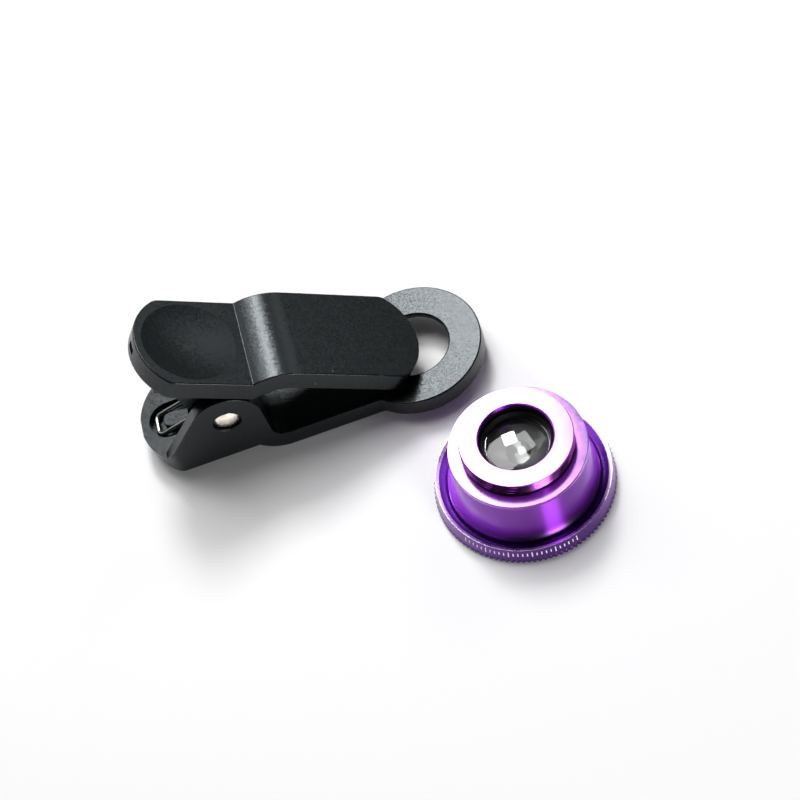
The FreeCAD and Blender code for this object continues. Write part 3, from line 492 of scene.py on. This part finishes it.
@dataclass
class Clip:
    """The black spring clip: two jaws, their pin, the spring and the soft foot."""

    nodes: dict
    hinge: Vector
    moulding: SparkErodedAbs = SparkErodedAbs()
    foot: SoftRubber = SoftRubber()
    pin_steel: PlainMetal = PlainMetal("nickel_plated_steel", "#FFF4E4", 0.26)
    wire_steel: PlainMetal = PlainMetal("spring_wire", "#A2A5A3", 0.2)
    coil_under: float = 2.2  # below the pin's axis by this, the real wire stays with the lower jaw
    coil_over: float = 1.2  # above the pin's axis by this, the real wire turns with the upper jaw

    def build(self) -> list[bpy.types.Object]:
        """Dresses the mouldings, the pin and the spring.

        Returns:
            The clip's visible pieces.
        """
        moulding = self.moulding.make()
        finishes = {
            "lower_jaw": moulding,
            "upper_jaw": moulding,
            "jaw_pad": self.foot.make(),
            "pivot_pin": self.pin_steel.make(),
        }
        for name, material in finishes.items():
            dress(self.nodes[name], material)
        return [*(self.nodes[name] for name in finishes), self.spring()]

    def spring(self) -> bpy.types.Object:
        """Returns a copy of the imported spring, dressed in spring steel, in its place."""
        node = self.nodes["torsion_spring"]
        piece = bpy.data.objects.new("bent_spring", node.data.copy())
        bpy.context.scene.collection.objects.link(piece)
        dress(piece, self.wire_steel.make())
        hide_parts("torsion_spring")
        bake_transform(piece)
        return piece


@dataclass
class FisheyeLens:
    """The purple lens that stands on its front rim.

    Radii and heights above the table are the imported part's, in mm. The fine thread, the groove under the
    flange, the smooth flare of the bell, the crown of the rim's bevel and the ticks are added here.
    """

    nodes: dict
    centre: Vector = field(init=False)

    barrel: AnodisedAluminium = AnodisedAluminium("purple_anodised_barrel", "#8C34BE")
    # the faced ends: a smoother turned finish, which is real, and a paler dye, which is painted highlight so
    # that their reflection of the overhead lamps reads near white
    faced_painted_highlight: AnodisedAluminium = AnodisedAluminium(
        "purple_anodised_faced_end_painted_highlight", "#8E5CAC", roughness=0.16, anisotropy=0.2, coat=0.8
    )
    cut: AnodisedAluminium = AnodisedAluminium(
        "purple_anodised_thread", "#9A3AAE", roughness=0.2, anisotropy=0.0, coat=0.5
    )
    ring: AnodisedAluminium = AnodisedAluminium(
        "purple_anodised_ring", "#5C2482", roughness=0.25, anisotropy=0.2
    )
    bright_cut: PlainMetal = PlainMetal("bright_cut_aluminium", "#EEDDF4", 0.3, 2.0)
    marking: LaserMarking = LaserMarking()
    inside: BlackenedMetal = BlackenedMetal()
    front_glass: OpticalGlass = OpticalGlass("coated_front_glass", "#EEF2F6", "#C8B8FF")
    clear_glass: OpticalGlass = OpticalGlass("clear_lens_glass")

    barrel_sides: int = 360
    rear_face: float = 14.46
    rear_hole: float = 6.12
    blackened_to: float = 13.75  # the bore is blackened up to here
    neck: float = 9.35
    neck_start: float = 12.15
    chamfer: float = 0.2
    relief: float = 9.0
    thread_pitch: float = 0.75
    thread_depth: float = 0.3
    thread_row: float = 0.05  # spacing of the rows that the thread is cut in
    flange: float = 11.38
    flange_top: float = 11.6
    flange_foot: float = 10.9
    flange_edge: float = 0.12
    flange_groove: float = 0.22  # the tool's run-out under the flange
    groove_edge: float = 0.06
    bell_top: float = 11.15
    bell_turn: tuple = (11.958, 3.492, 2.18)  # where the bell's wall meets its foot, and the flare's radius
    foot: float = 12.5
    foot_top: float = 2.95
    foot_bottom: float = 2.02
    # the bore's steps, from the web down to the seat of the front glass
    bores: tuple = ((4.6, 8.9), (4.6, 7.9), (8.6, 7.9), (8.6, 6.2), (10.8, 6.2), (10.8, 2.94), (11.6, 2.94))
    counterbore: float = 11.6
    level_face: float = 0.9  # a face whose normal rises more than this is the flange's or the rear end's, and gets the faced finish with its paler dye, a painted highlight

    rim: float = 15.11
    rim_flat: float = 13.3
    rim_edge: float = 0.15
    knurl_top: float = 0.95
    knurl_teeth: int = 104
    knurl_depth: float = 0.28
    tooth_sides: int = 8
    band_foot: tuple = (0.01, 0.03)  # a row this far in and up from the knurl keeps its shading off the band
    rim_top: tuple = (14.58, 3.27)
    rim_top_edge: float = 0.05
    rim_crown: tuple = (14.1, 3.11, 1.6)  # radius, height, and the curve of the bevel there
    rim_lip: tuple = (13.54, 2.82, 0.12)
    rim_groove: tuple = (12.6, 2.35)
    cut_inside: float = 0.15  # how far inside its crown the rim's bevel is cut bright
    bevel_face: float = 0.8  # a face of the bevel rises more than this
    glass_seat: float = 2.0
    bezel: tuple = (11.0, 1.7)

    tick_from: float = -146.0  # degrees about the axis
    tick_to: float = -71.0
    tick_steps: int = 25
    tick_group: int = 5  # every fifth tick is a long one
    tick_width: float = 0.17
    tick_short: float = 0.65
    tick_long: float = 1.15
    tick_lift: float = 0.008  # above the band

    def __post_init__(self) -> None:
        """Takes the lens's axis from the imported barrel."""
        low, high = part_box("lens_barrel")
        self.centre = (Vector(low) + Vector(high)) / 2

    def build(self) -> list[bpy.types.Object]:
        """Turns the barrel and front ring afresh, marks the ticks and dresses the rest.

        Returns:
            The lens's visible pieces.
        """
        black = self.inside.make()
        clear = self.clear_glass.make()
        finishes = {
            "front_spacer": black,
            "aperture_stop": black,
            "rear_spacer": black,
            "rear_retainer": black,
            "front_dome": self.front_glass.make(),
            "middle_lens": clear,
            "rear_lens": clear,
        }
        turned_pieces = [self.turn_barrel(black), self.turn_front_ring(), self.mark_ticks()]
        for name, material in finishes.items():
            dress(self.nodes[name], material)
        return [*turned_pieces, *(self.nodes[name] for name in finishes)]

    def turn_barrel(self, black: bpy.types.Material) -> bpy.types.Object:
        """Turns the barrel, threads its neck and gives each face its finish.

        Args:
            black: the bore's finish.

        Returns:
            The barrel.
        """
        barrel = turned(
            "threaded_barrel", self.centre, self.barrel_outline(), self.barrel_sides, self.thread
        )
        for material in (self.barrel.make(), self.faced_painted_highlight.make(), black, self.cut.make()):
            barrel.data.materials.append(material)
        for face in barrel.data.polygons:
            level = face.center.z / METRE
            reach = (face.center - self.centre).xy.length / METRE
            finish = BarrelFinish.DYED
            # faces that point up take the faced finish, whose paler dye is painted highlight
            if face.normal.z > self.level_face and level > self.flange_foot:
                finish = BarrelFinish.FACED_PAINTED_HIGHLIGHT
            elif reach < self.rear_hole + NEAR_MM and level < self.blackened_to:
                finish = BarrelFinish.BLACKENED
            elif level > self.flange_foot and reach > self.rear_hole + self.chamfer:
                finish = BarrelFinish.THREAD
            face.material_index = finish.value
        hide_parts("lens_barrel")
        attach(barrel, Body.ROOT.value)
        return barrel

    def turn_front_ring(self) -> bpy.types.Object:
        """Returns the front ring, turned and knurled, with its bevel cut bright."""
        ring = turned(
            "knurled_front_ring", self.centre, self.ring_outline(), self.knurl_teeth * self.tooth_sides,
            self.knurl,
        )
        for finish in (self.ring, self.bright_cut):
            ring.data.materials.append(finish.make())
        crown = self.rim_crown[0]
        for face in ring.data.polygons:
            reach = (face.center - self.centre).xy.length / METRE
            bright = face.normal.z > self.bevel_face and reach > crown - self.cut_inside
            face.material_index = (RingFinish.BRIGHT_CUT if bright else RingFinish.DYED).value
        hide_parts("front_ring")
        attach(ring, Body.ROOT.value)
        return ring

    def barrel_outline(self) -> list[tuple[float, float]]:
        """Returns the barrel's section, with rows close enough for the thread."""
        neck_end = self.rear_face - self.chamfer
        rows = round((neck_end - self.neck_start) / self.thread_row)
        step = (neck_end - self.neck_start) / rows
        thread = [(self.neck, self.neck_start + step * row) for row in range(rows + 1)]
        groove = self.bell_top - self.flange_groove
        return rounded([
            (self.counterbore, self.foot_bottom),
            (self.foot, self.foot_bottom),
            (self.foot, self.foot_top),
            self.bell_turn,
            (self.bell_top, self.flange_foot - self.flange_groove, self.groove_edge),
            (groove, self.flange_foot - self.flange_groove / 2),
            (groove, self.flange_foot),
            (self.flange, self.flange_foot, self.flange_edge),
            (self.flange, self.flange_top, self.flange_edge),
            (self.relief, self.flange_top),
            (self.relief, self.neck_start - step),
            *thread,
            (self.neck - self.chamfer, self.rear_face),
            (self.rear_hole + self.chamfer, self.rear_face),
            (self.rear_hole, neck_end),
            (self.rear_hole, self.blackened_to),
            (self.rear_hole, self.bores[0][1]),
            *self.bores,
        ])

    def thread(self, angle: float, radius: float, height: float) -> float:
        """Cuts the neck's fine thread.

        Args:
            angle: about the axis, in radians.
            radius: the outline's radius, in mm.
            height: above the table, in mm.

        Returns:
            The radius there with the thread cut.
        """
        if abs(radius - self.neck) > NEAR_MM:
            return radius
        turn = (height / self.thread_pitch - angle / (2 * math.pi)) % 1
        return radius - self.thread_depth * (1 - abs(2 * turn - 1))

    def ring_outline(self) -> list[tuple[float, float]]:
        """Returns the front ring's section."""
        edge = self.rim_edge
        inward, upward = self.band_foot
        return rounded([
            (self.rim_flat, 0.0),
            (self.rim - edge, 0.0),
            (self.rim, edge),
            (self.rim, self.knurl_top),
            (self.rim - edge, self.knurl_top + edge),
            (self.rim - edge - inward, self.knurl_top + edge + upward),
            (*self.rim_top, self.rim_top_edge),
            self.rim_crown,
            self.rim_lip,
            self.rim_groove,
            (self.rim_groove[0], self.glass_seat),
            (self.bezel[0], self.glass_seat),
            self.bezel,
        ])

    def knurl(self, angle: float, radius: float, height: float) -> float:
        """Cuts the knurl's notches.

        Args:
            angle: about the axis, in radians.
            radius: the outline's radius, in mm.
            height: above the table, in mm.

        Returns:
            The radius there with the notches cut.
        """
        if height > self.knurl_top + NEAR_MM or radius < self.rim - self.rim_edge - NEAR_MM:
            return radius
        turn = (angle * self.knurl_teeth / (2 * math.pi)) % 1
        return radius - self.knurl_depth * (1 - abs(2 * turn - 1))

    def mark_ticks(self) -> bpy.types.Object:
        """Returns plain ticks round the front of the rim's band."""
        foot = Vector((self.rim - self.rim_edge, self.knurl_top + self.rim_edge))
        top = Vector(self.rim_top)
        slope = (top - foot).normalized()
        middle = (foot + top) / 2 + Vector((slope.y, -slope.x)) * self.tick_lift
        axis = Vector((self.centre.x, self.centre.y, 0))
        mesh = bmesh.new()
        for index in range(self.tick_steps + 1):
            turn = math.radians(self.tick_from + (self.tick_to - self.tick_from) * index / self.tick_steps)
            half = (self.tick_short if index % self.tick_group else self.tick_long) / 2
            around = Vector((-math.sin(turn), math.cos(turn), 0)) * self.tick_width / 2
            spots = []
            for side, rise in ((-1, -half), (1, -half), (1, half), (-1, half)):
                place = middle + slope * rise
                spoke = Vector((place.x * math.cos(turn), place.x * math.sin(turn), place.y))
                spots.append(mesh.verts.new((spoke + around * side) * METRE + axis))
            mesh.faces.new(spots)
        piece = link_mesh("rim_ticks", mesh)
        dress(piece, self.marking.make())
        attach(piece, Body.ROOT.value)
        return piece


@dataclass(frozen=True)
class SoftBox:
    """One area lamp: where it hangs and the point that it faces, in mm, its sides in mm and its watts."""

    name: str
    place: tuple
    at: tuple
    size: tuple
    watts: float

    def hang(self) -> None:
        """Adds the lamp to the scene."""
        light = bpy.data.lights.new(self.name, "AREA")
        light.shape = "RECTANGLE"
        light.size, light.size_y = (side * METRE for side in self.size)
        light.energy = self.watts
        lamp = bpy.data.objects.new(self.name, light)
        lamp.location = Vector(self.place) * METRE
        lamp.rotation_mode = "QUATERNION"
        lamp.rotation_quaternion = (Vector(self.at) - Vector(self.place)).to_track_quat("-Z", "Y")
        bpy.context.scene.collection.objects.link(lamp)


@dataclass
class Studio:
    """A pale table top, three soft lamps, dim room light and the photograph's camera."""

    hinge: Vector

    lamps: tuple = (
        SoftBox("overhead", (-55, 245, 540), (6, 0, 5), (300, 400), 2.4),
        SoftBox("overhead_core", (8, 325, 425), (0, 0, 5), (104, 136), 1.2),  # the riser's and ring's sheen
        SoftBox("low_front", (152, -412, 75), (22, -13, 7), (150, 120), 1.1),  # the bell's tall streak
    )

    aim_from_hinge: tuple = (28.603, -4.555, -14.749)  # what the camera looks at
    distance: float = 314.621
    elevation: float = 55.445  # degrees above the table
    roll: float = 16.98
    lens: float = 81.0
    sensor: float = 36.0
    clip_metres: tuple = (0.01, 10.0)

    floor_colour: str = "#F4F4F5"
    floor_roughness: float = 0.7
    floor_drop: float = 0.02  # keeps the floor off the faces that stand on it
    floor_half: float = 6000.0
    floor_glow: float = 0.02  # lifts the lit floor to white for the camera, and leaves the shadows
    far_glow: float = 0.9  # the same where the lamps no longer reach
    near: float = 160.0
    far: float = 700.0

    room_front: float = 0.02
    room_side: float = 0.14
    room_turn: tuple = (-0.5, 0.3)  # a direction's reach backwards, of 1, where front turns to side light
    corner_light: float = 1.8  # the pale upper corners behind, seen in the sides of the rim's bevel
    corner_aside: tuple = (0.35, 0.5)  # a direction's reach to each side, where a corner starts and is full
    corner_over: tuple = (0.43, 0.5)  # the same upwards
    corner_behind: tuple = (0.4, 0.52)  # and backwards

    def build(self) -> None:
        """Makes the floor, the lamps, the world and the camera."""
        self.lay_floor()
        for lamp in self.lamps:
            lamp.hang()
        self.light_room()
        self.set_camera()

    def lay_floor(self) -> None:
        """Lays the floor, white to the camera where nothing shades it."""
        mesh = bmesh.new()
        bmesh.ops.create_grid(mesh, x_segments=1, y_segments=1, size=self.floor_half * METRE)
        data = bpy.data.meshes.new("table_top")
        mesh.to_mesh(data)
        mesh.free()
        floor = bpy.data.objects.new("table_top", data)
        floor.location.z = -self.floor_drop * METRE
        bpy.context.scene.collection.objects.link(floor)
        material, tree, shader, place = new_tree("pale_table")
        path = add_node(tree, "LightPath")
        seen = path.outputs["Is Camera Ray"]
        for ray in ("Is Glossy Ray", "Is Transmission Ray"):
            seen = add_node(tree, "Math", {"operation": "MAXIMUM"}, i0=seen, i1=path.outputs[ray]).outputs[0]
        away = add_node(tree, "VectorMath", {"operation": "LENGTH"}, i0=place)
        lift = add_node(
            tree, "MapRange", {"interpolation_type": "SMOOTHSTEP"}, i0=away.outputs["Value"],
            i1=self.near, i2=self.far, i3=self.floor_glow, i4=self.far_glow,
        )
        glow = add_node(tree, "Math", {"operation": "MULTIPLY"}, i0=seen, i1=lift.outputs[0])
        tree.links.new(glow.outputs[0], shader.inputs["Emission Strength"])
        shader.inputs["Emission Color"].default_value = (1, 1, 1, 1)
        shader.inputs["Base Color"].default_value = linear(self.floor_colour)
        shader.inputs["Roughness"].default_value = self.floor_roughness
        shader.inputs["Specular IOR Level"].default_value = 0.0
        dress(floor, material)

    def light_room(self) -> None:
        """Lights the room dimly, most dimly from the camera's side, and shows the camera white."""
        world = bpy.data.worlds.new("room")
        world.use_nodes = True
        tree = world.node_tree
        room = tree.nodes["Background"]
        room.inputs["Color"].default_value = (1, 1, 1, 1)
        place = add_node(tree, "TexCoord")
        split = add_node(tree, "SeparateXYZ", Vector=place.outputs["Generated"])
        start, end = self.room_turn
        dim = add_node(
            tree, "MapRange", {"interpolation_type": "SMOOTHSTEP"}, i0=split.outputs["Y"],
            i1=start, i2=end, i3=self.room_front, i4=self.room_side,
        )
        aside = add_node(tree, "Math", {"operation": "ABSOLUTE"}, i0=split.outputs["X"])
        corner = None
        for value, (start, end) in (
            (aside.outputs[0], self.corner_aside),
            (split.outputs["Z"], self.corner_over),
            (split.outputs["Y"], self.corner_behind),
        ):
            share = add_node(
                tree, "MapRange", {"interpolation_type": "SMOOTHSTEP"}, i0=value, i1=start, i2=end,
                i3=0.0, i4=1.0,
            ).outputs[0]
            if corner is not None:
                share = add_node(tree, "Math", {"operation": "MULTIPLY"}, i0=corner, i1=share).outputs[0]
            corner = share
        strength = add_node(
            tree, "Math", {"operation": "MULTIPLY_ADD"}, i0=corner, i1=self.corner_light, i2=dim.outputs[0]
        )
        path = add_node(tree, "LightPath")
        shown = add_node(
            tree, "Math", {"operation": "MAXIMUM"}, i0=strength.outputs[0], i1=path.outputs["Is Camera Ray"]
        )
        tree.links.new(shown.outputs[0], room.inputs["Strength"])
        bpy.context.scene.world = world
        bpy.context.scene.view_settings.view_transform = "Standard"

    def set_camera(self) -> None:
        """Sets the camera at the photograph's angle."""
        rise, turn = math.radians(self.elevation), math.radians(self.roll)
        back = Vector((0, -math.cos(rise), math.sin(rise)))
        level = Vector((1, 0, 0))
        upright = back.cross(level)
        right = level * math.cos(turn) - upright * math.sin(turn)
        up = level * math.sin(turn) + upright * math.cos(turn)
        data = bpy.data.cameras.new("camera")
        data.lens, data.sensor_width = self.lens, self.sensor
        data.clip_start, data.clip_end = self.clip_metres
        camera = bpy.data.objects.new("camera", data)
        camera.rotation_mode = "QUATERNION"
        camera.rotation_quaternion = Matrix((right, up, back)).transposed().to_quaternion()
        camera.location = self.hinge + (Vector(self.aim_from_hinge) + back * self.distance) * METRE
        bpy.context.scene.collection.objects.link(camera)
        bpy.context.scene.camera = camera


def main() -> None:
    """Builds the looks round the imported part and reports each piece."""
    logging.basicConfig(level=logging.INFO, format="%(name)s: %(message)s")
    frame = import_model()
    hinge = Vector(frame["joints"][0]["pos_m"])
    for piece in [*Clip(frame["nodes"], hinge).build(), *FisheyeLens(frame["nodes"]).build()]:
        LOG.info("%s: %s, %d faces", piece.name, piece.material_slots[0].name, len(piece.data.polygons))
    Studio(hinge).build()
    LOG.info("studio: floor, lamps, room light and camera")


if __name__ == "__main__":
    main()
